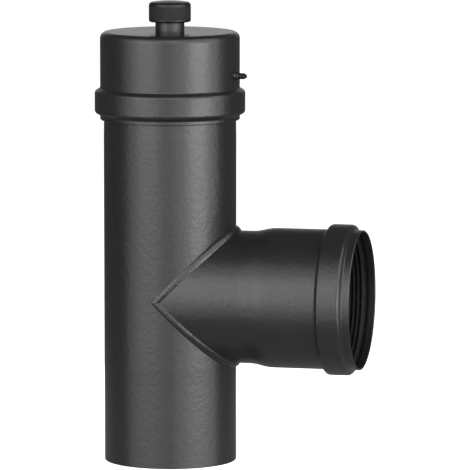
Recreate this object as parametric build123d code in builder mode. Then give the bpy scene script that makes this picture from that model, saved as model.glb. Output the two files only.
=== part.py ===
from build123d import *
import math
import os

# Flue tee for a pellet stove: run tube, socketed branch, and a push-on inspection cap with a screwed drain.
# Millimetres, +Z up. The origin is on the run's axis at its lower end, and +X points along the branch.

# Flue tube, its two ends sized down a little to enter a socket
tube_od = 80.0
wall = 1.2
run_length = 257.9
spigot_length = 50.0
spigot_relief = 0.15
spigot_taper = 10.0
edge_break = 0.3

# Branch, and where its socket begins
branch_height = 100.5
branch_reach = 118.5
socket_start = 66.0
flare_length = 16.0

# Sockets of the branch and of the cap, drawn over the tube with room to slide
socket_clearance = 0.9
bead_height = 3.3
bead_shoulder = 1.8
bead_crest_round = 2.2
bead_foot_round = 1.0
lip_round = 0.5
branch_bead_width = 16.6
branch_lip_length = 4.4
cap_bead_width = 16.4
cap_lip_length = 2.6

# Inspection cap
cap_depth = 52.1
cap_crown_round = 4.0
cap_fall_width = 15.1
cap_crown_drop = 0.5
cap_crown_sweep = 400.0
cap_stop_gap = 1.5

# Lip seals: a band that fills the bead, with ribs that lean into the socket
seal_fit = 0.1
seal_band_inset = 0.6
rib_count = 5
rib_pitch = 2.6
rib_root_width = 1.7
rib_land = 0.5
rib_lean = 0.7
free_squeeze = 0.4
worn_in_clearance = 0.05

# Weld around the mitre
weld_leg_crotch = 3.3
weld_leg_side = 2.0
weld_rise = 0.45
weld_root = 0.8
weld_sink = 0.1
weld_stations = 15
weld_overrun = 6.0

# Drain stub, washer and screw cap: a collar on the cap's crown, and above it a 3/8 inch pipe thread
collar_od = 17.5
collar_height = 5.4
thread_od = 16.66
thread_length = 8.1
stub_bore = 13.2
stub_fit = 0.05
stub_flange_od = 23.0
stub_flange_thickness = 1.5
thread_edge = 0.6
washer_thickness = 1.5
washer_clearance = 0.3
washer_seat_gap = 0.05
knob_od = 25.3
knob_foot_gap = 0.1
knob_crown = 3.2
knob_dome_radius = 65.0
knob_crown_round = 2.0
knob_foot_round = 1.0
knob_clearance = 0.1

# Lock screw in its boss on the cap's wall
lock_azimuth = -9.5
lock_drop = 25.8
boss_od = 5.2
boss_height = 1.8
boss_collar_od = 4.5
boss_collar_height = 1.1
boss_edge = 0.25
screw_od = 3.7
screw_clearance = 0.05
screw_reach = 6.6
screw_end_round = 1.2
screw_tip_gap = 0.3
screw_tip_edge = 0.5

tube_radius = tube_od / 2
spigot_radius = tube_radius - spigot_relief
socket_radius = tube_radius + socket_clearance + wall
bead_radius = socket_radius + bead_height
cap_ceiling = run_length + cap_stop_gap
cap_top = cap_ceiling + wall
cap_mouth = cap_ceiling - cap_depth
branch_axis = Axis((0, 0, branch_height), (1, 0, 0))
branch_profile = Plane(origin=(0, 0, branch_height), x_dir=(1, 0, 0), z_dir=(0, -1, 0))


def socket_line(start, mouth, lip_length, bead_width, place):
    """Draws a socket's outer line in the current BuildLine, from the tube's side to its mouth.

    start and mouth are distances along the socket's axis, and place makes a point of the sketch from such a
    distance and a radius.
    """
    outward = math.copysign(1, mouth - start)
    foot = mouth - outward * lip_length
    head = foot - outward * bead_width
    return FilletPolyline(
        place(start, socket_radius),
        place(head, socket_radius),
        place(head + outward * bead_shoulder, bead_radius),
        place(foot - outward * bead_shoulder, bead_radius),
        place(foot, socket_radius),
        place(mouth, socket_radius),
        radius=[bead_foot_round, bead_crest_round, bead_crest_round, bead_foot_round],
    )


def seal_line(centre, bead_width, tip_radius, inward, place):
    """Draws a lip seal's closed outline in the current BuildLine: its band in the bead, then its ribs.

    The band follows the bead's inner face at seal_fit from it, and the ribs lean inward into the socket.
    """
    inset = wall + seal_fit
    slope = math.atan2(bead_height, bead_shoulder)
    band_radius = bead_radius - inset
    root_radius = socket_radius - wall + seal_band_inset
    flank_inset = inset * math.tan(slope / 2)
    crest_half = bead_width / 2 - bead_shoulder - flank_inset
    root_half = bead_width / 2 - flank_inset - (root_radius - socket_radius + inset) / math.tan(slope)
    points = [
        place(centre - inward * root_half, root_radius),
        place(centre - inward * crest_half, band_radius),
        place(centre + inward * crest_half, band_radius),
        place(centre + inward * root_half, root_radius),
    ]
    for rib in range(rib_count):
        rib_centre = centre + inward * rib_pitch * ((rib_count - 1) / 2 - rib)
        points += [
            place(rib_centre + inward * rib_root_width / 2, root_radius),
            place(rib_centre + inward * (rib_lean + rib_land / 2), tip_radius),
            place(rib_centre + inward * (rib_lean - rib_land / 2), tip_radius),
            place(rib_centre - inward * rib_root_width / 2, root_radius),
        ]
    crest_round = max(bead_crest_round - inset, 0)
    rounds = [0] * len(points)
    rounds[1:3] = [crest_round, crest_round]
    return FilletPolyline(*points, radius=rounds, close=True)


def along_branch(distance, radius):
    """Point of the branch's profile plane, whose first axis is the branch's own axis."""
    return (distance, radius)


def along_run(height, radius):
    """Point of the XZ plane for a profile turned about the run's axis."""
    return (radius, height)


def mitre_wedge():
    """Draws the V, seen from the side, that the branch takes out of the run."""
    reach = branch_reach + tube_od
    return Polyline((0, 0), (reach, reach), (reach, -reach), close=True)


# Run tube, with the V notch that the branch is mitred into
with BuildPart() as run_tube:
    with BuildSketch(Plane.XZ):
        with BuildLine():
            Polyline(
                along_run(run_length, spigot_radius),
                along_run(run_length - spigot_length, spigot_radius),
                along_run(run_length - spigot_length - spigot_taper, tube_radius),
                along_run(spigot_length + spigot_taper, tube_radius),
                along_run(spigot_length, spigot_radius),
                along_run(0, spigot_radius),
            )
            offset(amount=wall, side=Side.RIGHT)
        make_face()
    revolve(axis=Axis.Z)
    end_faces = run_tube.faces().filter_by(GeomType.PLANE)
    chamfer(end_faces.edges(), length=edge_break)
    with BuildSketch(branch_profile):
        with BuildLine():
            mitre_wedge()
        make_face()
    extrude(amount=tube_od, both=True, mode=Mode.SUBTRACT)
run_tube.part.label = "run_tube"

# Branch: tube, flare, socket with its bead, and lip, cut to the same V
with BuildPart() as branch_pipe:
    with BuildSketch(branch_profile):
        with BuildLine():
            stub = Line((0, tube_radius), (socket_start - flare_length, tube_radius))
            flare_middle = (socket_start - flare_length / 2, (tube_radius + socket_radius) / 2)
            flare_in = TangentArc(stub @ 1, flare_middle, tangent=stub % 1)
            TangentArc(flare_middle, (socket_start, socket_radius), tangent=flare_in % 1)
            socket_line(socket_start, branch_reach, branch_lip_length, branch_bead_width, along_branch)
            offset(amount=wall, side=Side.RIGHT)
        make_face()
    revolve(axis=branch_axis)
    with BuildSketch(branch_profile):
        with BuildLine():
            mitre_wedge()
        make_face()
    extrude(amount=tube_od, both=True, mode=Mode.INTERSECT)
    fillet(branch_pipe.faces().sort_by(Axis.X)[-1].edges(), radius=lip_round)
branch_pipe.part.label = "branch_pipe"

# Weld: one section at each station of the mitre's upper half, lofted, then mirrored for the lower half
quarter_turn = 90
with BuildPart() as branch_weld:
    for station in range(weld_stations):
        position = 2 * station / (weld_stations - 1) - 1
        turn = math.radians(position * (quarter_turn + weld_overrun))
        along, across = math.cos(turn), -math.sin(turn)
        place = Vector(along, across, along) * tube_radius + Vector(0, 0, branch_height)
        outward = Vector(along, 2 * across, along).normalized()
        onward = Vector(-math.sin(turn), -math.cos(turn), -math.sin(turn)).normalized()
        leg = weld_leg_side + (weld_leg_crotch - weld_leg_side) * along**2
        lift = along / math.sqrt(2)
        toe = leg * lift - weld_sink
        spread = leg * math.sqrt(1 - lift**2)
        with BuildSketch(Plane(origin=place, x_dir=outward, z_dir=onward)):
            with BuildLine():
                ThreePointArc((toe, -spread), (toe + weld_sink + weld_rise, 0), (toe, spread))
                Polyline((toe, spread), (-weld_root, 0), (toe, -spread))
            make_face()
    loft()
    split(bisect_by=Plane.XY.offset(branch_height), keep=Keep.TOP)
    mirror(about=Plane.XY.offset(branch_height))
    add(run_tube.part, mode=Mode.SUBTRACT)
    add(branch_pipe.part, mode=Mode.SUBTRACT)
branch_weld.part.label = "branch_weld"

# Branch seal, with its ribs free
with BuildPart() as branch_seal:
    with BuildSketch(branch_profile):
        with BuildLine():
            branch_bead_centre = branch_reach - branch_lip_length - branch_bead_width / 2
            seal_line(branch_bead_centre, branch_bead_width, spigot_radius - free_squeeze, -1, along_branch)
        make_face()
    revolve(axis=branch_axis)
branch_seal.part.label = "branch_seal"

# Inspection cap: drawn cup, its crown falling a little towards the wall, with holes for drain and lock screw
lock_height = cap_top - lock_drop
lock_direction = Vector(1, 0, 0).rotate(Axis.Z, lock_azimuth)
lock_plane = Plane(origin=(0, 0, lock_height), x_dir=(0, 0, 1), z_dir=lock_direction)
stub_hole_radius = collar_od / 2 + stub_fit
screw_hole_radius = screw_od / 2 + screw_clearance
with BuildPart() as cap_shell:
    with BuildSketch(Plane.XZ):
        with BuildLine():
            crown_foot = cap_top - cap_crown_drop - 2 * cap_crown_round
            FilletPolyline(
                along_run(cap_top, stub_hole_radius),
                along_run(cap_top, socket_radius - cap_fall_width),
                along_run(cap_top - cap_crown_drop, socket_radius),
                along_run(crown_foot, socket_radius),
                radius=[cap_crown_sweep, cap_crown_round],
            )
            socket_line(crown_foot, cap_mouth, cap_lip_length, cap_bead_width, along_run)
            offset(amount=wall, side=Side.RIGHT)
        make_face()
    revolve(axis=Axis.Z)
    fillet(cap_shell.faces().sort_by(Axis.Z)[0].edges(), radius=lip_round)
    with BuildSketch(lock_plane):
        Circle(screw_hole_radius)
    extrude(amount=bead_radius, mode=Mode.SUBTRACT)
cap_shell.part.label = "cap_shell"

# Cap seal, with its ribs squeezed to the tube
with BuildPart() as cap_seal:
    with BuildSketch(Plane.XZ):
        with BuildLine():
            cap_bead_centre = cap_mouth + cap_lip_length + cap_bead_width / 2
            seal_line(cap_bead_centre, cap_bead_width, spigot_radius + worn_in_clearance, 1, along_run)
        make_face()
    revolve(axis=Axis.Z)
cap_seal.part.label = "cap_seal"

# Drain stub: turned nipple, its flange under the cap's crown
collar_top = cap_top + collar_height
stub_top = collar_top + thread_length
with BuildPart() as drain_stub:
    with BuildSketch(Plane.XY.offset(cap_ceiling - stub_flange_thickness)):
        Circle(stub_flange_od / 2)
    extrude(amount=stub_flange_thickness)
    with BuildSketch(Plane.XY.offset(cap_ceiling)):
        Circle(collar_od / 2)
    extrude(amount=collar_top - cap_ceiling)
    with BuildSketch(Plane.XY.offset(collar_top)):
        Circle(thread_od / 2)
    extrude(amount=thread_length)
    chamfer(drain_stub.faces().sort_by(Axis.Z)[-1].edges(), length=thread_edge)
    with BuildSketch(Plane.XY.offset(cap_ceiling - stub_flange_thickness)):
        Circle(stub_bore / 2)
    extrude(amount=stub_top - cap_ceiling + stub_flange_thickness, mode=Mode.SUBTRACT)
drain_stub.part.label = "drain_stub"

# Washer on the stub's rim
washer_foot = stub_top + washer_seat_gap
knob_bore_radius = thread_od / 2 + knob_clearance
with BuildPart() as drain_washer:
    with BuildSketch(Plane.XY.offset(washer_foot)):
        Circle(knob_bore_radius - washer_clearance)
    extrude(amount=washer_thickness)
drain_washer.part.label = "drain_washer"

# Screw cap, closed down on the washer
knob_ceiling = washer_foot + washer_thickness + washer_seat_gap
knob_top = knob_ceiling + knob_crown
knob_foot = collar_top + knob_foot_gap
with BuildPart() as drain_cap:
    with BuildSketch(Plane.XY.offset(knob_foot)):
        Circle(knob_od / 2)
    extrude(amount=knob_top - knob_foot)
    with Locations((0, 0, knob_top - knob_dome_radius)):
        Sphere(knob_dome_radius, mode=Mode.INTERSECT)
    fillet(drain_cap.faces().sort_by(Axis.Z)[-1].edges(), radius=knob_crown_round)
    fillet(drain_cap.faces().sort_by(Axis.Z)[0].edges(), radius=knob_foot_round)
    with BuildSketch(Plane.XY.offset(knob_foot)):
        Circle(knob_bore_radius)
    extrude(amount=knob_ceiling - knob_foot, mode=Mode.SUBTRACT)
drain_cap.part.label = "drain_cap"

# Lock boss: a ring seated on the cap's round wall, with a narrower collar on it
lock_axis = Axis(lock_plane.origin, lock_direction)
boss_shoulder = socket_radius + boss_height
with BuildPart() as lock_boss:
    with BuildSketch(lock_plane.offset(tube_radius)):
        Circle(boss_od / 2)
    extrude(amount=boss_shoulder - tube_radius)
    chamfer(lock_boss.faces().sort_by(lock_axis)[-1].edges(), length=boss_edge)
    with BuildSketch(lock_plane.offset(boss_shoulder)):
        Circle(boss_collar_od / 2)
    extrude(amount=boss_collar_height)
    chamfer(lock_boss.faces().sort_by(lock_axis)[-1].edges(), length=boss_edge)
    with BuildSketch(lock_plane.offset(tube_radius)):
        Circle(screw_hole_radius)
    extrude(amount=boss_shoulder + boss_collar_height - tube_radius, mode=Mode.SUBTRACT)
    with BuildSketch(Plane.XY.offset(lock_height - boss_od)):
        Circle(socket_radius)
    extrude(amount=2 * boss_od, mode=Mode.SUBTRACT)
lock_boss.part.label = "lock_boss"

# Lock screw, its tip just short of the tube
screw_tip = tube_radius + screw_tip_gap
screw_end = socket_radius + screw_reach
with BuildPart() as lock_screw:
    with BuildSketch(lock_plane.offset(screw_tip)):
        Circle(screw_od / 2)
    extrude(amount=screw_end - screw_tip)
    screw_faces = lock_screw.faces().sort_by(lock_axis)
    fillet(screw_faces[-1].edges(), radius=screw_end_round)
    chamfer(screw_faces[0].edges(), length=screw_tip_edge)
lock_screw.part.label = "lock_screw"

os.makedirs("parts", exist_ok=True)
export_step(run_tube.part, "parts/run_tube.step")
export_step(branch_pipe.part, "parts/branch_pipe.step")
export_step(branch_weld.part, "parts/branch_weld.step")
export_step(branch_seal.part, "parts/branch_seal.step")
export_step(cap_shell.part, "parts/cap_shell.step")
export_step(cap_seal.part, "parts/cap_seal.step")
export_step(drain_stub.part, "parts/drain_stub.step")
export_step(drain_washer.part, "parts/drain_washer.step")
export_step(drain_cap.part, "parts/drain_cap.step")
export_step(lock_boss.part, "parts/lock_boss.step")
export_step(lock_screw.part, "parts/lock_screw.step")
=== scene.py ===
import logging
import math
from collections.abc import Sequence
from dataclasses import dataclass
from enum import Enum
from typing import Any

import bpy
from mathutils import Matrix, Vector


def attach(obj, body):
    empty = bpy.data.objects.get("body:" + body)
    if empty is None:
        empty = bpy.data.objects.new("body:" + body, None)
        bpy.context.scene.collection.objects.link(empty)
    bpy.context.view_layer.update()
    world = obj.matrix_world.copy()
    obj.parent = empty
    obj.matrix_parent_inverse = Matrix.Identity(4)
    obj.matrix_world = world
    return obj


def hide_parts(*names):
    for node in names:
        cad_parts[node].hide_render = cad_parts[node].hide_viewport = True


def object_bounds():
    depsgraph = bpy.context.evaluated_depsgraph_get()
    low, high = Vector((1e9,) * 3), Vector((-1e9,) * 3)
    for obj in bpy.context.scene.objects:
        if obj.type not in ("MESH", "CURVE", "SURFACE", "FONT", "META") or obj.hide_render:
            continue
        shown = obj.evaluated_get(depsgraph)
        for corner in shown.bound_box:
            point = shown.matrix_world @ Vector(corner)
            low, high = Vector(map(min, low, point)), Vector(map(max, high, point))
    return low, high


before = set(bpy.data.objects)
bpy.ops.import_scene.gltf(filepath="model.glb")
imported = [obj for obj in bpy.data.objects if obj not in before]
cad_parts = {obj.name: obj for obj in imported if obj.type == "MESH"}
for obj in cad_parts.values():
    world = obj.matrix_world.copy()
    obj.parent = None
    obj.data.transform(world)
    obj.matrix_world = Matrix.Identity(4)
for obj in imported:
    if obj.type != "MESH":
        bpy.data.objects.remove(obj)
CAD_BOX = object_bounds()

LOG = logging.getLogger("flue_tee")
MM = 0.001
FULL_TURN = 2 * math.pi
MERGE_DISTANCE = 0.002 * MM
NOISE_MEAN = 0.5
Colour = tuple[float, float, float]
Point = tuple[float, float]
Corner = tuple[float, float, float]


class Signal:
    """One shader socket, with operators that add the Math nodes they stand for."""

    def __init__(self, tree: bpy.types.NodeTree, socket: bpy.types.NodeSocket) -> None:
        """Keeps the socket and the tree that it belongs to."""
        self.tree = tree
        self.socket = socket

    def apply(self, operation: str, *operands: "Signal | float") -> "Signal":
        """Adds a Math node.

        Args:
            operation: Blender's name for the operation.
            operands: its inputs, in order.

        Returns:
            The node's result.
        """
        node = self.tree.nodes.new("ShaderNodeMath")
        node.operation = operation
        for socket, operand in zip(node.inputs, operands):
            if isinstance(operand, Signal):
                self.tree.links.new(operand.socket, socket)
            else:
                socket.default_value = operand
        return Signal(self.tree, node.outputs[0])

    def __add__(self, other: "Signal | float") -> "Signal":
        """Sum."""
        return self.apply("ADD", self, other)

    __radd__ = __add__

    def __mul__(self, other: "Signal | float") -> "Signal":
        """Product."""
        return self.apply("MULTIPLY", self, other)

    __rmul__ = __mul__

    def __sub__(self, other: "Signal | float") -> "Signal":
        """Difference."""
        return self.apply("SUBTRACT", self, other)

    def __rsub__(self, other: float) -> "Signal":
        """Difference with a number on the left."""
        return self.apply("SUBTRACT", other, self)

    def __truediv__(self, other: "Signal | float") -> "Signal":
        """Quotient."""
        return self.apply("DIVIDE", self, other)

    def __pow__(self, exponent: float) -> "Signal":
        """Power."""
        return self.apply("POWER", self, exponent)

    def maximum(self, other: "Signal | float") -> "Signal":
        """Larger of the two."""
        return self.apply("MAXIMUM", self, other)

    def wave(self) -> "Signal":
        """Sine of the value in radians, moved to run from 0 to 1."""
        return self.apply("SINE", self) * 0.5 + 0.5

    def angle_from(self, other: "Signal") -> "Signal":
        """Angle of the point (other, self) about the origin, in radians."""
        return self.apply("ARCTAN2", self, other)

    def distance(self, other: "Signal") -> "Signal":
        """Distance of the point (self, other) from the origin."""
        return (self * self + other * other) ** 0.5

    def fade(self, start: float, end: float) -> "Signal":
        """Turns the stretch from start to end into a smooth step.

        Args:
            start: the value at which the step is 0.
            end: the value at which the step is 1, above or below start.

        Returns:
            The step, held between 0 and 1.
        """
        node = self.tree.nodes.new("ShaderNodeMapRange")
        node.interpolation_type = "SMOOTHSTEP"
        self.tree.links.new(self.socket, node.inputs["Value"])
        node.inputs["From Min"].default_value = min(start, end)
        node.inputs["From Max"].default_value = max(start, end)
        node.inputs["To Min"].default_value = float(start > end)
        node.inputs["To Max"].default_value = float(start < end)
        return Signal(self.tree, node.outputs["Result"])


class Shader:
    """A material under construction: its node tree, and one method for every kind of node."""

    def __init__(self, name: str) -> None:
        """Makes an empty material.

        Args:
            name: the material's name.
        """
        self.material = bpy.data.materials.new(name)
        self.material.use_nodes = True
        self.tree = self.material.node_tree
        self.tree.nodes.clear()
        self.place = self.node("ShaderNodeTexCoord").outputs["Object"]

    def node(
        self,
        kind: str,
        settings: dict[str, Any] | None = None,
        sockets: dict[str, Any] | None = None,
    ) -> bpy.types.Node:
        """Adds a node.

        Args:
            kind: the node's type.
            settings: its own properties, set first.
            sockets: values or links of its inputs, by name.

        Returns:
            The node.
        """
        made = self.tree.nodes.new(kind)
        for name, value in (settings or {}).items():
            setattr(made, name, value)
        for name, value in (sockets or {}).items():
            source = value.socket if isinstance(value, Signal) else value
            if isinstance(source, bpy.types.NodeSocket):
                self.tree.links.new(source, made.inputs[name])
            else:
                made.inputs[name].default_value = source
        return made

    def signal(self, socket: bpy.types.NodeSocket) -> Signal:
        """Wraps a socket for arithmetic."""
        return Signal(self.tree, socket)

    def coordinates(self) -> tuple[Signal, Signal, Signal]:
        """Gives the place on the object as three numbers, in metres."""
        split = self.node("ShaderNodeSeparateXYZ", sockets={"Vector": self.place})
        return tuple(self.signal(socket) for socket in split.outputs)

    def noise(self, size: float, detail: float = 3.0, roughness: float = 0.5) -> Signal:
        """Adds a noise of about that size on the object.

        Args:
            size: the width of its patches, in metres.
            detail: octaves.
            roughness: how much the finer octaves weigh.

        Returns:
            The noise, from 0 to 1.
        """
        made = self.node(
            "ShaderNodeTexNoise",
            sockets={
                "Vector": self.place,
                "Scale": 1 / size,
                "Detail": detail,
                "Roughness": roughness,
            },
        )
        return self.signal(made.outputs["Fac"])

    def blend(self, dark: Colour, light: Colour, share: Signal) -> bpy.types.NodeSocket:
        """Mixes two colours.

        Args:
            dark: the colour where share is 0.
            light: the colour where share is 1.
            share: the mask.

        Returns:
            The mixed colour's socket.
        """
        mix = self.node("ShaderNodeMix", {"data_type": "RGBA"})
        self.tree.links.new(share.socket, mix.inputs[0])
        mix.inputs[6].default_value = (*dark, 1)
        mix.inputs[7].default_value = (*light, 1)
        return mix.outputs[2]

    def bump(
        self, height: Signal, depth: float, under: bpy.types.NodeSocket | None = None
    ) -> bpy.types.NodeSocket:
        """Adds relief to the surface.

        Args:
            height: the relief, from 0 to 1.
            depth: its full height, in metres.
            under: the normal of a relief below this one.

        Returns:
            The new normal's socket.
        """
        sockets = {"Strength": 1.0, "Distance": depth, "Height": height}
        if under is not None:
            sockets["Normal"] = under
        return self.node("ShaderNodeBump", sockets=sockets).outputs["Normal"]

    def combine(
        self, kind: str, first: bpy.types.Node, second: bpy.types.Node, share: Signal | None = None
    ) -> bpy.types.Node:
        """Adds or mixes two shaders.

        Args:
            kind: the node's type.
            first: the first shader.
            second: the second shader.
            share: how much of the second a Mix Shader takes.

        Returns:
            The node.
        """
        made = self.node(kind)
        factor = [] if share is None else [share.socket]
        for source, socket in zip((*factor, first.outputs[0], second.outputs[0]), made.inputs):
            self.tree.links.new(source, socket)
        return made

    def finish(self, **sockets: Any) -> bpy.types.Material:
        """Ends the material with its surface shader.

        Args:
            sockets: the surface shader's inputs, with underscores for spaces.

        Returns:
            The material.
        """
        surface = self.node(
            "ShaderNodeBsdfPrincipled",
            sockets={name.replace("_", " "): value for name, value in sockets.items()},
        )
        self.node("ShaderNodeOutputMaterial", sockets={"Surface": surface.outputs["BSDF"]})
        return self.material


@dataclass(frozen=True)
class Enamel:
    """Satin black stove enamel on sheet steel, faintly mottled and rippled."""

    name: str = "flue_enamel"
    dark: Colour = (0.0078, 0.0076, 0.0080)
    light: Colour = (0.0112, 0.0109, 0.0113)
    roughness: float = 0.31
    roughness_spread: float = 0.06
    specular: float = 0.5
    grain: float = 0.6 * MM
    grain_depth: float = 0.006 * MM
    grain_share: float = 0.6
    ripple: float = 3.0 * MM
    ripple_depth: float = 0.17 * MM
    cloud: float = 24 * MM

    def material(self) -> bpy.types.Material:
        """Builds the enamel.

        Returns:
            The material.
        """
        shader = Shader(self.name)
        grain = shader.noise(self.grain, detail=4.0, roughness=0.6)
        ripple = shader.noise(self.ripple, roughness=0.6)
        cloud = shader.noise(self.cloud)
        mottle = grain * self.grain_share + cloud * (1 - self.grain_share)
        uneven = cloud + grain + ripple - 3 * NOISE_MEAN
        relief = shader.bump(grain, self.grain_depth, shader.bump(ripple, self.ripple_depth))
        return shader.finish(
            Base_Color=shader.blend(self.dark, self.light, mottle),
            Roughness=self.dullness(shader) + uneven * self.roughness_spread,
            Specular_IOR_Level=self.specular,
            Normal=relief,
        )

    def dullness(self, shader: Shader) -> Signal | float:
        """Gives the mean roughness, which a kind of enamel may vary over the piece."""
        return self.roughness


@dataclass(frozen=True)
class CrownEnamel(Enamel):
    """The cap's enamel, which flowed out smoother on the level crown than on the walls."""

    name: str = "cap_enamel"
    crown_roughness: float = 0.17
    crown_start: Point = (258.6 * MM, 260.2 * MM)

    def dullness(self, shader: Shader) -> Signal:
        """Gives the mean roughness, lower on the crown."""
        crown = shader.coordinates()[2].fade(*self.crown_start)
        return crown * (self.crown_roughness - self.roughness) + self.roughness


@dataclass(frozen=True)
class WeldEnamel(Enamel):
    """The enamel over the mitre's weld, where the bead's lumps and ripples show through."""

    name: str = "weld_enamel"
    roughness: float = 0.23
    lump: float = 6 * MM
    lump_depth: float = 0.5 * MM
    drift: float = 4 * MM
    wander: float = 6.0
    ripple_pitch: float = 1.6 * MM
    bead_depth: float = 0.045 * MM
    tube_radius: float = 40.0 * MM

    def material(self) -> bpy.types.Material:
        """Builds the enamel, with the bead's ripples counted off around the run.

        Returns:
            The material.
        """
        shader = Shader(self.name)
        along, across, _ = shader.coordinates()
        drift = shader.noise(self.drift, detail=2.0)
        lumps = shader.bump(shader.noise(self.lump, detail=2.0), self.lump_depth)
        ripples = FULL_TURN * self.tube_radius / self.ripple_pitch
        turn = across.angle_from(along) * ripples + drift * self.wander
        grain = shader.noise(self.grain, detail=4.0, roughness=0.6)
        skin = shader.bump(grain, 2 * self.grain_depth, lumps)
        return shader.finish(
            Base_Color=shader.blend(self.dark, self.light, grain * 0.5 + drift * 0.5),
            Roughness=drift * self.roughness_spread + self.roughness,
            Specular_IOR_Level=self.specular,
            Normal=shader.bump(turn.wave(), self.bead_depth, skin),
        )


@dataclass(frozen=True)
class Silicone:
    """Matt black silicone of the lip seals, and the washer's rubber."""

    name: str = "seal_silicone"
    dark: Colour = (0.0040, 0.0040, 0.0040)
    light: Colour = (0.0085, 0.0085, 0.0083)
    roughness: float = 0.55
    roughness_spread: float = 0.14
    specular: float = 0.17
    bloom: float = 3 * MM
    bloom_range: Point = (0.35, 0.7)
    skin: float = 0.25 * MM
    skin_depth: float = 0.004 * MM

    def material(self) -> bpy.types.Material:
        """Builds the silicone.

        Returns:
            The material.
        """
        shader = Shader(self.name)
        bloom = shader.noise(self.bloom, detail=4.0)
        skin = shader.noise(self.skin)
        return shader.finish(
            Base_Color=shader.blend(self.dark, self.light, bloom.fade(*self.bloom_range)),
            Roughness=bloom * self.roughness_spread + self.roughness,
            Specular_IOR_Level=self.specular,
            Normal=shader.bump(skin, self.skin_depth),
        )


@dataclass(frozen=True)
class MouldedPlastic:
    """Fine-grained black plastic, as it is inside the screw cap, on its thread."""

    name: str = "cap_plastic"
    dark: Colour = (0.0060, 0.0060, 0.0062)
    light: Colour = (0.0140, 0.0140, 0.0143)
    roughness: float = 0.66
    roughness_spread: float = 0.08
    specular: float = 0.30
    flow: float = 8 * MM
    skin: float = 0.35 * MM
    skin_depth: float = 0.01 * MM

    def material(self) -> bpy.types.Material:
        """Builds the plastic.

        Returns:
            The material.
        """
        shader = Shader(self.name)
        skin = shader.noise(self.skin, roughness=0.7)
        flow = shader.noise(self.flow, detail=2.0)
        return shader.finish(
            Base_Color=shader.blend(self.dark, self.light, skin * 0.5 + flow * 0.5),
            Roughness=flow * self.roughness_spread + self.roughness,
            Specular_IOR_Level=self.specular,
            Normal=shader.bump(skin, self.skin_depth),
        )


@dataclass(frozen=True)
class RibbedPlastic(MouldedPlastic):
    """The screw cap's outside: a matt grip with fine ribs between smooth rims, and a glossy top."""

    name: str = "ribbed_plastic"
    dark: Colour = (0.0040, 0.0040, 0.0042)
    light: Colour = (0.0090, 0.0090, 0.0092)
    roughness: float = 0.30
    grip_roughness: float = 0.70
    top_roughness: float = 0.17
    top_start: Point = (277.6 * MM, 278.4 * MM)
    specular: float = 0.31
    flow: float = 4 * MM
    skin: float = 0.8 * MM
    skin_depth: float = 0.02 * MM
    rib_count: int = 108
    rib_depth: float = 0.10 * MM
    rib_foot: Point = (267.4 * MM, 268.0 * MM)
    rib_top: Point = (276.0 * MM, 275.4 * MM)
    rib_wall: Point = (11.0 * MM, 12.0 * MM)

    def material(self) -> bpy.types.Material:
        """Builds the plastic, its ribs kept off the rims and out of the bore.

        Returns:
            The material.
        """
        shader = Shader(self.name)
        along, across, height = shader.coordinates()
        ribs = (across.angle_from(along) * self.rib_count).wave()
        wall = along.distance(across).fade(*self.rib_wall)
        grip = wall * height.fade(*self.rib_foot) * height.fade(*self.rib_top)
        top = height.fade(*self.top_start)
        flow = shader.noise(self.flow)
        grip_change = self.grip_roughness - self.roughness
        top_change = self.top_roughness - self.roughness
        uneven = (flow - NOISE_MEAN) * self.roughness_spread
        skin = shader.bump(shader.noise(self.skin, roughness=0.6), self.skin_depth)
        return shader.finish(
            Base_Color=shader.blend(self.dark, self.light, flow),
            Roughness=grip * grip_change + top * top_change + uneven + self.roughness,
            Specular_IOR_Level=self.specular,
            Normal=shader.bump(ribs * grip, self.rib_depth, skin),
        )


@dataclass(frozen=True)
class BlackSteel:
    """Turned steel, painted or blacked, with fine turning marks around a vertical axis."""

    name: str = "stub_steel"
    colour: Colour = (0.0100, 0.0100, 0.0112)
    worn: Colour = (0.0190, 0.0190, 0.0200)
    roughness: float = 0.36
    roughness_spread: float = 0.08
    specular: float = 0.5
    wear: float = 1.5 * MM
    wear_range: Point = (0.52, 0.75)
    skin: float = 0.5 * MM
    skin_depth: float = 0.006 * MM
    mark_pitch: float = 0.25 * MM
    mark_depth: float = 0.002 * MM

    def material(self) -> bpy.types.Material:
        """Builds the steel.

        Returns:
            The material.
        """
        shader = Shader(self.name)
        marks = (shader.coordinates()[2] * (FULL_TURN / self.mark_pitch)).wave()
        wear = shader.noise(self.wear, detail=4.0, roughness=0.6).fade(*self.wear_range)
        skin = shader.bump(shader.noise(self.skin), self.skin_depth)
        return shader.finish(
            Base_Color=shader.blend(self.colour, self.worn, wear),
            Roughness=wear * self.roughness_spread + self.roughness,
            Specular_IOR_Level=self.specular,
            Normal=shader.bump(marks, self.mark_depth, skin),
        )


def dress(node: str, material: bpy.types.Material) -> None:
    """Gives a CAD node its finish.

    Args:
        node: the node's name.
        material: its finish.
    """
    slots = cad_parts[node].data.materials
    slots.clear()
    slots.append(material)
    LOG.info("dressed %s with %s", node, material.name)


def heading(azimuth: float) -> Vector:
    """Gives the level direction at an azimuth from the branch's, in degrees."""
    return Vector((math.cos(math.radians(azimuth)), math.sin(math.radians(azimuth)), 0))


class Axle(Enum):
    """The straight lines that round pieces are turned about: a point on each, and its direction."""

    RUN = (Vector((0, 0, 0)), Vector((0, 0, 1)))
    BRANCH = (Vector((0, 0, 100.5 * MM)), Vector((1, 0, 0)))
    LOCK = (Vector((0, 0, 234.8 * MM)), heading(-9.5))

    def place(self, along: float, radius: float) -> Vector:
        """Gives a point near the line.

        Args:
            along: its distance along the line, in millimetres.
            radius: its distance from the line, in millimetres.

        Returns:
            The point, in metres.
        """
        start, direction = self.value
        outward = Vector((1, 0, 0)) if self is Axle.RUN else Vector((0, 0, 1))
        return start + direction * (along * MM) + outward * (radius * MM)


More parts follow.
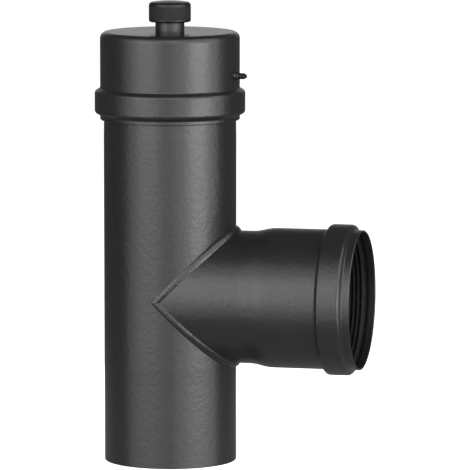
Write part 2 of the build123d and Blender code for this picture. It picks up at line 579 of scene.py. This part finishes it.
def rounded(corners: Sequence[Corner], steps: int = 5) -> list[Point]:
    """Rounds the corners of a closed outline.

    Args:
        corners: each corner's distance along the axle, radius and rounding, in millimetres.
        steps: the number of edges in each rounding.

    Returns:
        The outline's points.
    """
    outline = []
    for number, (along, radius, rounding) in enumerate(corners):
        here = Vector((along, radius))
        back = Vector(corners[number - 1][:2]) - here
        ahead = Vector(corners[(number + 1) % len(corners)][:2]) - here
        half = back.angle(ahead) / 2
        if rounding == 0:
            outline.append((along, radius))
            continue
        reach = min(rounding / math.tan(half), back.length / 2, ahead.length / 2)
        back.normalize()
        ahead.normalize()
        first, last = here + back * reach, here + ahead * reach
        centre = here + (back + ahead).normalized() * (reach / math.cos(half))
        sweep = math.pi - 2 * half
        for step in range(steps + 1):
            turned = step / steps * sweep
            spoke = (first - centre) * math.sin(sweep - turned) + (last - centre) * math.sin(turned)
            outline.append(tuple(centre + spoke / math.sin(sweep)))
    return outline


class Bench:
    """The modelling operators, used on one new piece at a time."""

    @staticmethod
    def start() -> None:
        """Deselects everything."""
        bpy.ops.object.select_all(action="DESELECT")

    @staticmethod
    def draw(points: Sequence[Vector]) -> bpy.types.Object:
        """Draws a closed line in a new object, extruding one point along it.

        Args:
            points: the line's corners.

        Returns:
            The object, in edit mode.
        """
        Bench.start()
        bpy.ops.mesh.primitive_plane_add(size=MM)
        piece = bpy.context.object
        bpy.ops.object.mode_set(mode="EDIT")
        bpy.ops.mesh.merge(type="CENTER")
        bpy.ops.transform.translate(value=points[0])
        for start, end in zip(points, (*points[1:], points[0])):
            bpy.ops.mesh.extrude_vertices_move(TRANSFORM_OT_translate={"value": end - start})
        bpy.ops.mesh.select_all(action="SELECT")
        bpy.ops.mesh.remove_doubles(threshold=MERGE_DISTANCE)
        return piece

    @staticmethod
    def end(piece: bpy.types.Object, name: str, sharp: float = 40.0) -> bpy.types.Object:
        """Closes the mesh, turns its faces outward, shades it smooth, and names it.

        Args:
            piece: the object, in edit mode.
            name: its name.
            sharp: the angle above which an edge stays sharp, in degrees.

        Returns:
            The object.
        """
        bpy.ops.mesh.select_all(action="SELECT")
        bpy.ops.mesh.remove_doubles(threshold=MERGE_DISTANCE)
        bpy.ops.mesh.normals_make_consistent(inside=False)
        bpy.ops.object.mode_set(mode="OBJECT")
        bpy.ops.object.shade_smooth_by_angle(angle=math.radians(sharp))
        piece.name = piece.data.name = name
        return piece

    @staticmethod
    def turn(
        name: str, outline: Sequence[Point], axle: Axle, steps: int = 160
    ) -> bpy.types.Object:
        """Turns a ring out of its closed outline.

        Args:
            name: the piece's name.
            outline: its points, each a distance along the axle and a radius, in millimetres.
            axle: what it is turned about.
            steps: the number of faces around.

        Returns:
            The piece.
        """
        piece = Bench.draw([axle.place(*point) for point in outline])
        centre, direction = axle.value
        bpy.ops.mesh.select_all(action="SELECT")
        bpy.ops.mesh.spin(steps=steps, angle=FULL_TURN, center=centre, axis=direction)
        return Bench.end(piece, name)

    @staticmethod
    def rod(name: str, sides: int, radius: float, start: float, end: float) -> bpy.types.Object:
        """Adds an upright rod on the run's axis, with none of its faces selected.

        Args:
            name: its name.
            sides: how many faces it has around.
            radius: its radius, in millimetres.
            start: the height of its lower end, in millimetres.
            end: the height of its upper end, in millimetres.

        Returns:
            The rod.
        """
        Bench.start()
        bpy.ops.mesh.primitive_cylinder_add(
            vertices=sides,
            radius=radius * MM,
            depth=(end - start) * MM,
            location=(0, 0, (start + end) / 2 * MM),
        )
        rod = bpy.context.object
        rod.name = name
        bpy.ops.object.transform_apply(location=True, rotation=True, scale=True)
        bpy.ops.object.mode_set(mode="EDIT")
        bpy.ops.mesh.select_all(action="DESELECT")
        bpy.ops.object.mode_set(mode="OBJECT")
        return rod

    @staticmethod
    def cut(piece: bpy.types.Object, cutter: bpy.types.Object) -> None:
        """Cuts one piece out of another and removes it.

        Args:
            piece: what is cut.
            cutter: the shape of the cut.
        """
        Bench.start()
        bpy.context.view_layer.objects.active = piece
        piece.select_set(True)
        bpy.ops.object.modifier_add(type="BOOLEAN")
        cut = piece.modifiers[0]
        cut.object, cut.operation, cut.solver = cutter, "DIFFERENCE", "EXACT"
        bpy.ops.object.modifier_apply(modifier=cut.name)
        bpy.data.objects.remove(cutter)

    @staticmethod
    def join(pieces: Sequence[bpy.types.Object]) -> bpy.types.Object:
        """Joins pieces into the first of them.

        Args:
            pieces: the pieces.

        Returns:
            The first piece.
        """
        Bench.start()
        for piece in pieces:
            piece.select_set(True)
        bpy.context.view_layer.objects.active = pieces[0]
        bpy.ops.object.join()
        return pieces[0]


def fit(piece: bpy.types.Object, body: str, material: bpy.types.Material) -> None:
    """Gives a new piece its finish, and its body.

    Args:
        piece: the new piece.
        body: the body that it rides on.
        material: its finish.
    """
    piece.data.materials.clear()
    piece.data.materials.append(material)
    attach(piece, body)
    LOG.info("made %s, %d faces, on %s", piece.name, len(piece.data.polygons), body)


@dataclass
class LipSeal:
    """A silicone seal: a band that fills the bead, and ribs that lean into the socket.

    All lengths are in millimetres, here and in the other pieces.
    """

    name: str
    node: str
    body: str
    axle: Axle
    centre: float
    bead_width: float
    tip_radius: float
    inward: int
    bead_radius: float = 45.4
    bead_height: float = 3.3
    bead_shoulder: float = 1.8
    wall: float = 1.2
    band_fit: float = 0.1
    band_inset: float = 0.6
    band_round: float = 0.9
    rib_count: int = 5
    rib_pitch: float = 2.6
    rib_root: float = 1.7
    rib_land: float = 0.5
    rib_lean: float = 0.7
    root_round: float = 0.3
    tip_round: float = 0.24

    def corners(self) -> list[Corner]:
        """Draws the seal's section.

        Returns:
            The corners: the band's four, then each rib's root, two tips and root.
        """
        inset = self.wall + self.band_fit
        slope = math.atan2(self.bead_height, self.bead_shoulder)
        flank = inset * math.tan(slope / 2)
        socket = self.bead_radius - self.bead_height
        band, root = self.bead_radius - inset, socket - self.wall + self.band_inset
        crest_half = self.bead_width / 2 - self.bead_shoulder - flank
        root_half = self.bead_width / 2 - flank - (root - socket + inset) / math.tan(slope)
        drawn = [
            (-root_half, root, 0.0),
            (-crest_half, band, self.band_round),
            (crest_half, band, self.band_round),
            (root_half, root, 0.0),
        ]
        for rib in range(self.rib_count):
            middle = self.rib_pitch * ((self.rib_count - 1) / 2 - rib)
            tip = middle + self.rib_lean
            drawn += [
                (middle + self.rib_root / 2, root, self.root_round),
                (tip + self.rib_land / 2, self.tip_radius, self.tip_round),
                (tip - self.rib_land / 2, self.tip_radius, self.tip_round),
                (middle - self.rib_root / 2, root, self.root_round),
            ]
        return [
            (self.centre + self.inward * along, radius, rounding)
            for along, radius, rounding in drawn
        ]

    def build(self, material: bpy.types.Material) -> None:
        """Turns the seal and puts it in its node's place.

        Args:
            material: its finish.
        """
        ring = Bench.turn(self.name, rounded(self.corners()), self.axle)
        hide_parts(self.node)
        fit(ring, self.body, material)


@dataclass
class Thread:
    """A thread's ridge, on a core or in a bore.

    Its section and pitch are a 55 degree pipe thread's, with 19 turns to the inch, unless given.
    """

    name: str
    base: float
    crest: float
    start: float
    end: float
    phase: float = 0.0
    pitch: float = 25.4 / 19
    base_half: float = 0.55
    crest_half: float = 0.13
    sink: float = 0.06
    steps: int = 72
    fade_turns: float = 0.4
    least_height: float = 0.02
    sharp: float = 30.0

    def build(self) -> bpy.types.Object:
        """Winds the ridge from start to end, its height fading in and out at the two ends.

        Returns:
            The ridge.
        """
        turns = (self.end - self.start - 2 * self.base_half) / self.pitch
        piece = Bench.draw([Axle.RUN.place(*point) for point in self.section()])
        bpy.ops.mesh.select_all(action="SELECT")
        bpy.ops.object.mode_set(mode="OBJECT")
        bpy.ops.object.modifier_add(type="SCREW")
        screw = piece.modifiers[0]
        screw.angle, screw.screw_offset = FULL_TURN * turns, self.pitch * MM * turns
        screw.steps = screw.render_steps = round(self.steps * turns)
        screw.use_smooth_shade = False
        bpy.ops.object.modifier_apply(modifier=screw.name)
        self.fade(piece, turns)
        bpy.ops.object.mode_set(mode="EDIT")
        bpy.ops.mesh.select_all(action="DESELECT")
        bpy.ops.mesh.select_non_manifold(
            extend=False, use_wire=False, use_multi_face=False, use_verts=False
        )
        bpy.ops.mesh.fill()
        return Bench.end(piece, self.name, self.sharp)

    def section(self) -> list[Point]:
        """Draws the ridge's section, with a strip below it that sinks into the core.

        Returns:
            Its points, each a height and a radius.
        """
        foot = self.base - math.copysign(self.sink, self.crest - self.base)
        middle = self.start + self.base_half
        return [
            (middle - self.base_half, foot),
            (middle - self.base_half, self.base),
            (middle - self.crest_half, self.crest),
            (middle + self.crest_half, self.crest),
            (middle + self.base_half, self.base),
            (middle + self.base_half, foot),
        ]

    def fade(self, piece: bpy.types.Object, turns: float) -> None:
        """Lowers the ridge towards its two ends and sets its phase.

        Args:
            piece: the wound ridge, its points in rings of one section each.
            turns: how many turns it has.
        """
        rings = round(self.steps * turns) + 1
        count = len(piece.data.vertices) // rings
        first = self.base * MM
        for number, vertex in enumerate(piece.data.vertices):
            share = (number // count) / (rings - 1) * turns
            height = min(1.0, share / self.fade_turns, (turns - share) / self.fade_turns)
            radius = math.hypot(vertex.co.x, vertex.co.y)
            if (radius - first) * (self.crest - self.base) > 0:
                radius = first + (radius - first) * max(height, self.least_height)
            angle = math.atan2(vertex.co.y, vertex.co.x) + self.phase
            vertex.co.x, vertex.co.y = radius * math.cos(angle), radius * math.sin(angle)


@dataclass
class FlueBody:
    """The run tube with the mitred branch, its weld and its lip seal."""

    body: str = "tee"
    branch_mouth: float = 118.5
    lip_length: float = 4.4
    bead_width: float = 16.6
    seal_tip_radius: float = 39.45

    def build(self) -> None:
        """Dresses the CAD nodes and turns the branch's seal."""
        enamel = Enamel().material()
        for node in ("run_tube", "branch_pipe"):
            dress(node, enamel)
        dress("branch_weld", WeldEnamel().material())
        seal = LipSeal(
            name="branch_lip_seal",
            node="branch_seal",
            body=self.body,
            axle=Axle.BRANCH,
            centre=self.branch_mouth - self.lip_length - self.bead_width / 2,
            bead_width=self.bead_width,
            tip_radius=self.seal_tip_radius,
            inward=-1,
        )
        seal.build(Silicone().material())


@dataclass
class LockBoss:
    """The lock screw's boss: a ring seated in the wall, and a collar between two grooves."""

    foot: float = 41.9
    end: float = 45.0
    bore_radius: float = 1.95
    ring_radius: float = 2.6
    ring_height: float = 1.6
    ring_round: float = 0.3
    groove_radius: float = 2.05
    collar_radius: float = 2.5
    collar_start: float = 2.2
    collar_start_round: float = 0.2
    collar_end: float = 2.9
    collar_end_round: float = 0.25
    nose_radius: float = 2.1
    nose_round: float = 0.1

    def corners(self) -> list[Corner]:
        """Draws the boss's section.

        Returns:
            The corners.
        """
        ring_end = self.foot + self.ring_height
        collar_start, collar_end = self.foot + self.collar_start, self.foot + self.collar_end
        return [
            (self.foot, self.bore_radius, 0.0),
            (self.foot, self.ring_radius, 0.0),
            (ring_end, self.ring_radius, self.ring_round),
            (ring_end, self.groove_radius, 0.0),
            (collar_start, self.groove_radius, 0.0),
            (collar_start, self.collar_radius, self.collar_start_round),
            (collar_end, self.collar_radius, self.collar_end_round),
            (collar_end, self.nose_radius, 0.0),
            (self.end, self.nose_radius, self.nose_round),
            (self.end, self.bore_radius, 0.0),
        ]

    def build(self, body: str, steel: bpy.types.Material) -> None:
        """Turns the boss and puts it in its node's place.

        Args:
            body: the body that it rides on.
            steel: its finish.
        """
        boss = Bench.turn("screw_boss", rounded(self.corners(), steps=3), Axle.LOCK, steps=64)
        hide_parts("lock_boss")
        fit(boss, body, steel)


@dataclass
class DrainStub:
    """The drain stub: a flange under the cap's crown, a collar above it, and a threaded end."""

    crown: float = 260.6
    wall: float = 1.2
    collar_top: float = 266.0
    top: float = 274.1
    collar_radius: float = 8.75
    core_radius: float = 7.47
    thread_radius: float = 8.33
    thread_margin: float = 0.3
    bore_radius: float = 6.6
    flange_radius: float = 11.5
    flange_thickness: float = 1.5
    rim_round: float = 0.25
    collar_round: float = 0.3
    seat_round: float = 0.1
    thread_foot_round: float = 0.15

    @property
    def thread_start(self) -> float:
        """Where the thread starts."""
        return self.collar_top + self.thread_margin

    def corners(self) -> list[Corner]:
        """Draws the stub's section without its thread.

        Returns:
            The corners.
        """
        ceiling = self.crown - self.wall
        flange_foot = ceiling - self.flange_thickness
        return [
            (flange_foot, self.bore_radius, self.rim_round),
            (flange_foot, self.flange_radius, self.collar_round),
            (ceiling, self.flange_radius, self.seat_round),
            (ceiling, self.collar_radius, 0.0),
            (self.collar_top, self.collar_radius, self.collar_round),
            (self.collar_top, self.core_radius, self.thread_foot_round),
            (self.top, self.core_radius, self.rim_round),
            (self.top, self.bore_radius, self.rim_round),
        ]

    def build(self, body: str, steel: bpy.types.Material) -> None:
        """Turns the stub, cuts its thread and puts it in its node's place.

        Args:
            body: the body that it rides on.
            steel: its finish.
        """
        core = Bench.turn("threaded_stub", rounded(self.corners(), steps=3), Axle.RUN, steps=96)
        ridge = Thread(
            name="stub_thread",
            base=self.core_radius,
            crest=self.thread_radius,
            start=self.thread_start,
            end=self.top - self.thread_margin,
        )
        stub = Bench.join([core, ridge.build()])
        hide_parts("drain_stub")
        fit(stub, body, steel)


@dataclass
class InspectionCap:
    """The drawn cap with its lip seal, the lock screw's boss, and the drain stub."""

    body: str = "cap"
    mouth: float = 207.3
    lip_length: float = 2.6
    bead_width: float = 16.4
    seal_tip_radius: float = 39.9

    def build(self) -> None:
        """Dresses the CAD node, and makes the seal, the boss and the stub."""
        dress("cap_shell", CrownEnamel().material())
        seal = LipSeal(
            name="cap_lip_seal",
            node="cap_seal",
            body=self.body,
            axle=Axle.RUN,
            centre=self.mouth + self.lip_length + self.bead_width / 2,
            bead_width=self.bead_width,
            tip_radius=self.seal_tip_radius,
            inward=1,
        )
        seal.build(Silicone(name="cap_silicone").material())
        LockBoss().build(self.body, BlackSteel(name="boss_steel", roughness=0.26).material())
        DrainStub().build(self.body, BlackSteel().material())


@dataclass
class DrainClosure:
    """The screw cap with the thread in its bore, and its washer."""

    bore_radius: float = 8.43
    crest_radius: float = 7.62
    thread_start: float = 266.6
    thread_end: float = 273.9

    def build(self) -> None:
        """Dresses the CAD nodes and winds the thread, its ridge midway between the stub's turns."""
        dress("drain_cap", RibbedPlastic().material())
        dress("drain_washer", Silicone(name="washer_rubber").material())
        ridge = Thread(
            name="screw_cap_thread",
            base=self.bore_radius,
            crest=self.crest_radius,
            start=self.thread_start,
            end=self.thread_end,
        )
        climb = (self.thread_start - DrainStub().thread_start) / ridge.pitch
        ridge.phase = FULL_TURN * (climb + 0.5)
        fit(ridge.build(), "screw_cap", MouldedPlastic().material())


@dataclass
class LockScrew:
    """The black set screw in the boss, threaded, with a hexagon socket in its end."""

    crest_radius: float = 1.85
    core_radius: float = 1.68
    tip: float = 40.3
    end: float = 48.7
    end_round: float = 0.14
    end_face_rise: float = 0.9
    socket_radius: float = 1.15
    socket_depth: float = 2.0
    socket_overshoot: float = 1.0

    def build(self) -> None:
        """Makes the screw upright at the origin, then lays it along its line."""
        screw = Bench.join([self.shank(), self.ridge()])
        start, direction = Axle.LOCK.value
        screw.location = start
        screw.rotation_euler = direction.to_track_quat("Z", "Y").to_euler()
        bpy.ops.object.transform_apply(location=True, rotation=True, scale=True)
        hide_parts("lock_screw")
        steel = BlackSteel(
            name="screw_black",
            colour=(0.004, 0.004, 0.004),
            worn=(0.007, 0.007, 0.007),
            roughness=0.3,
            specular=0.2,
        )
        fit(screw, "lock", steel.material())

    def shank(self) -> bpy.types.Object:
        """Makes the screw's core, its ends rounded and its socket cut.

        Returns:
            The core.
        """
        shank = Bench.rod(
            "set_screw", sides=48, radius=self.core_radius, start=self.tip, end=self.end
        )
        for face in shank.data.polygons:
            face.select = abs(face.normal.z) > self.end_face_rise
        bpy.ops.object.mode_set(mode="EDIT")
        bpy.ops.mesh.bevel(offset=self.end_round * MM, segments=4, profile=0.5, affect="EDGES")
        bpy.ops.object.mode_set(mode="OBJECT")
        cutter = Bench.rod(
            "socket_cutter",
            sides=6,
            radius=self.socket_radius,
            start=self.end - self.socket_depth,
            end=self.end + self.socket_overshoot,
        )
        Bench.cut(shank, cutter)
        bpy.ops.object.mode_set(mode="EDIT")
        return Bench.end(shank, "set_screw")

    def ridge(self) -> bpy.types.Object:
        """Winds the screw's thread.

        Returns:
            The ridge.
        """
        thread = Thread(
            name="screw_ridge",
            base=self.core_radius,
            crest=self.crest_radius,
            start=self.tip + self.end_round,
            end=self.end - self.end_round / 2,
            pitch=0.7,
            base_half=0.33,
            crest_half=0.12,
            sink=0.04,
            steps=36,
            fade_turns=0.1,
        )
        return thread.build()


@dataclass(frozen=True)
class Softbox:
    """One rectangular studio lamp, placed round the part's middle as the camera sees it.

    The azimuth is measured from the camera's own, to the right. Both angles are in degrees, the
    lengths in metres and the power in watts.
    """

    name: str
    azimuth: float
    elevation: float
    distance: float
    width: float
    height: float
    power: float

    def build(self, middle: Vector, camera_azimuth: float) -> None:
        """Adds the lamp.

        Args:
            middle: the point that it faces.
            camera_azimuth: the camera's azimuth, in degrees.
        """
        turn = math.radians(self.azimuth + camera_azimuth)
        rise = math.radians(self.elevation)
        level = math.cos(rise)
        back = Vector((math.sin(turn) * level, -math.cos(turn) * level, math.sin(rise)))
        data = bpy.data.lights.new(self.name, "AREA")
        data.shape = "RECTANGLE"
        data.size, data.size_y = self.width, self.height
        data.energy = self.power
        lamp = bpy.data.objects.new(self.name, data)
        lamp.location = middle + back * self.distance
        lamp.rotation_euler = back.to_track_quat("Z", "Y").to_euler()
        bpy.context.scene.collection.objects.link(lamp)


@dataclass
class Studio:
    """Camera, pale floor, world and softboxes.

    The camera's place and tilt are fitted to the photograph's outlines, with the part at its real
    size. The inner lamp on the right is low, so that the crown doesn't mirror it seen from behind.
    """

    camera_place: tuple[float, float, float] = (0.7042, -2.9428, 0.5131)
    camera_azimuth: float = 12.716
    camera_tilt: float = 7.09
    camera_reach: float = 100.0
    focal_length: float = 386.3
    sensor: float = 36.0
    floor_radius: float = 14.0
    floor_sides: int = 128
    floor_white: float = 0.86
    floor_glow: float = 0.86
    floor_gloss: float = 0.12
    floor_gloss_reach: Point = (0.65, 0.15)
    ambient: float = 0.10
    wall_level: float = 0.52
    wall_sides: Point = (0.90, 0.985)
    wall_foot: Point = (-0.05, 0.05)
    wall_top: Point = (0.40, 0.20)
    lamps: tuple[Softbox, ...] = (
        Softbox("right_wide", 46, 16, distance=1.9, width=3.67, height=3.42, power=95.0),
        Softbox("right_core", 48, 1, distance=1.7, width=1.04, height=0.5, power=8.6),
        Softbox("left_wide", -38, 16, distance=1.92, width=3.42, height=3.46, power=51.5),
        Softbox("left_core", -39, 15, distance=1.72, width=1.24, height=1.39, power=12.5),
    )

    def build(self) -> None:
        """Adds the camera, the floor, the world and the lamps."""
        self.add_camera()
        self.add_floor()
        self.add_world()
        low, high = CAD_BOX
        for lamp in self.lamps:
            lamp.build((low + high) / 2, self.camera_azimuth)
        bpy.context.scene.view_settings.view_transform = "Standard"

    def add_camera(self) -> None:
        """Adds the camera at the photograph's viewing angle."""
        data = bpy.data.cameras.new("camera")
        data.lens = self.focal_length
        data.sensor_width = self.sensor
        data.clip_end = self.camera_reach
        camera = bpy.data.objects.new("camera", data)
        camera.location = self.camera_place
        rise = math.pi / 2 - math.radians(self.camera_tilt)
        camera.rotation_euler = (rise, 0, math.radians(self.camera_azimuth))
        bpy.context.scene.collection.objects.link(camera)
        bpy.context.scene.camera = camera

    def add_floor(self) -> None:
        """Adds the floor, white to the camera but for the part's shadow."""
        bpy.ops.mesh.primitive_circle_add(
            vertices=self.floor_sides, radius=self.floor_radius, fill_type="NGON"
        )
        floor = bpy.context.object
        floor.name = "floor"
        shader = Shader("floor_paper")
        paper = shader.node(
            "ShaderNodeBsdfDiffuse", sockets={"Color": (*(self.floor_white,) * 3, 1)}
        )
        glow = shader.node(
            "ShaderNodeEmission", sockets={"Color": (1, 1, 1, 1), "Strength": self.floor_glow}
        )
        white = shader.combine("ShaderNodeAddShader", paper, glow)
        shown = shader.combine("ShaderNodeMixShader", paper, white, self.seen_by_camera(shader))
        clear = shader.node("ShaderNodeBsdfTransparent")
        thin = shader.combine("ShaderNodeMixShader", shown, clear, self.hidden_from_gloss(shader))
        shader.node("ShaderNodeOutputMaterial", sockets={"Surface": thin.outputs[0]})
        floor.data.materials.append(shader.material)
        floor.visible_shadow = False

    @staticmethod
    def seen_by_camera(shader: Shader) -> Signal:
        """Adds a mask of the camera's rays and of reflected and refracted ones.

        Args:
            shader: the floor's material.

        Returns:
            The mask.
        """
        path = shader.node("ShaderNodeLightPath")
        camera = shader.signal(path.outputs["Is Camera Ray"])
        glossy = shader.signal(path.outputs["Is Glossy Ray"])
        refracted = shader.signal(path.outputs["Is Transmission Ray"])
        return camera.maximum(glossy.maximum(refracted))

    def hidden_from_gloss(self, shader: Shader) -> Signal:
        """Adds a mask of the floor's share that reflections pass through, all of it far off.

        Args:
            shader: the floor's material.

        Returns:
            The mask.
        """
        path = shader.node("ShaderNodeLightPath")
        across, away, _ = shader.coordinates()
        near = across.distance(away).fade(*self.floor_gloss_reach)
        return shader.signal(path.outputs["Is Glossy Ray"]) * (1 - near * self.floor_gloss)

    def add_world(self) -> None:
        """Adds the world: white where it shows, and as light dim grey with a pale patch.

        The patch is a wall behind the part, whose reflection lights the cap's crown.
        """
        world = bpy.data.worlds.new("studio")
        world.use_nodes = True
        tree = world.node_tree
        tree.nodes.clear()
        path = tree.nodes.new("ShaderNodeLightPath")
        camera = Signal(tree, path.outputs["Is Camera Ray"])
        sky = tree.nodes.new("ShaderNodeTexCoord")
        split = tree.nodes.new("ShaderNodeSeparateXYZ")
        tree.links.new(sky.outputs["Generated"], split.inputs["Vector"])
        across, away, up = (Signal(tree, socket) for socket in split.outputs)
        turn = math.radians(self.camera_azimuth)
        behind = (away * math.cos(turn) - across * math.sin(turn)) / across.distance(away)
        wall = behind.fade(*self.wall_sides) * up.fade(*self.wall_foot) * up.fade(*self.wall_top)
        light = wall * (self.wall_level - self.ambient) + self.ambient
        background = tree.nodes.new("ShaderNodeBackground")
        background.inputs["Color"].default_value = (1, 1, 1, 1)
        tree.links.new(camera.maximum(light).socket, background.inputs["Strength"])
        output = tree.nodes.new("ShaderNodeOutputWorld")
        tree.links.new(background.outputs[0], output.inputs["Surface"])
        bpy.context.scene.world = world


def main() -> None:
    """Builds every sub-assembly and the studio."""
    logging.basicConfig(level=logging.INFO, format="%(name)s: %(message)s")
    FlueBody().build()
    InspectionCap().build()
    DrainClosure().build()
    LockScrew().build()
    Studio().build()


if __name__ == "__main__":
    main()
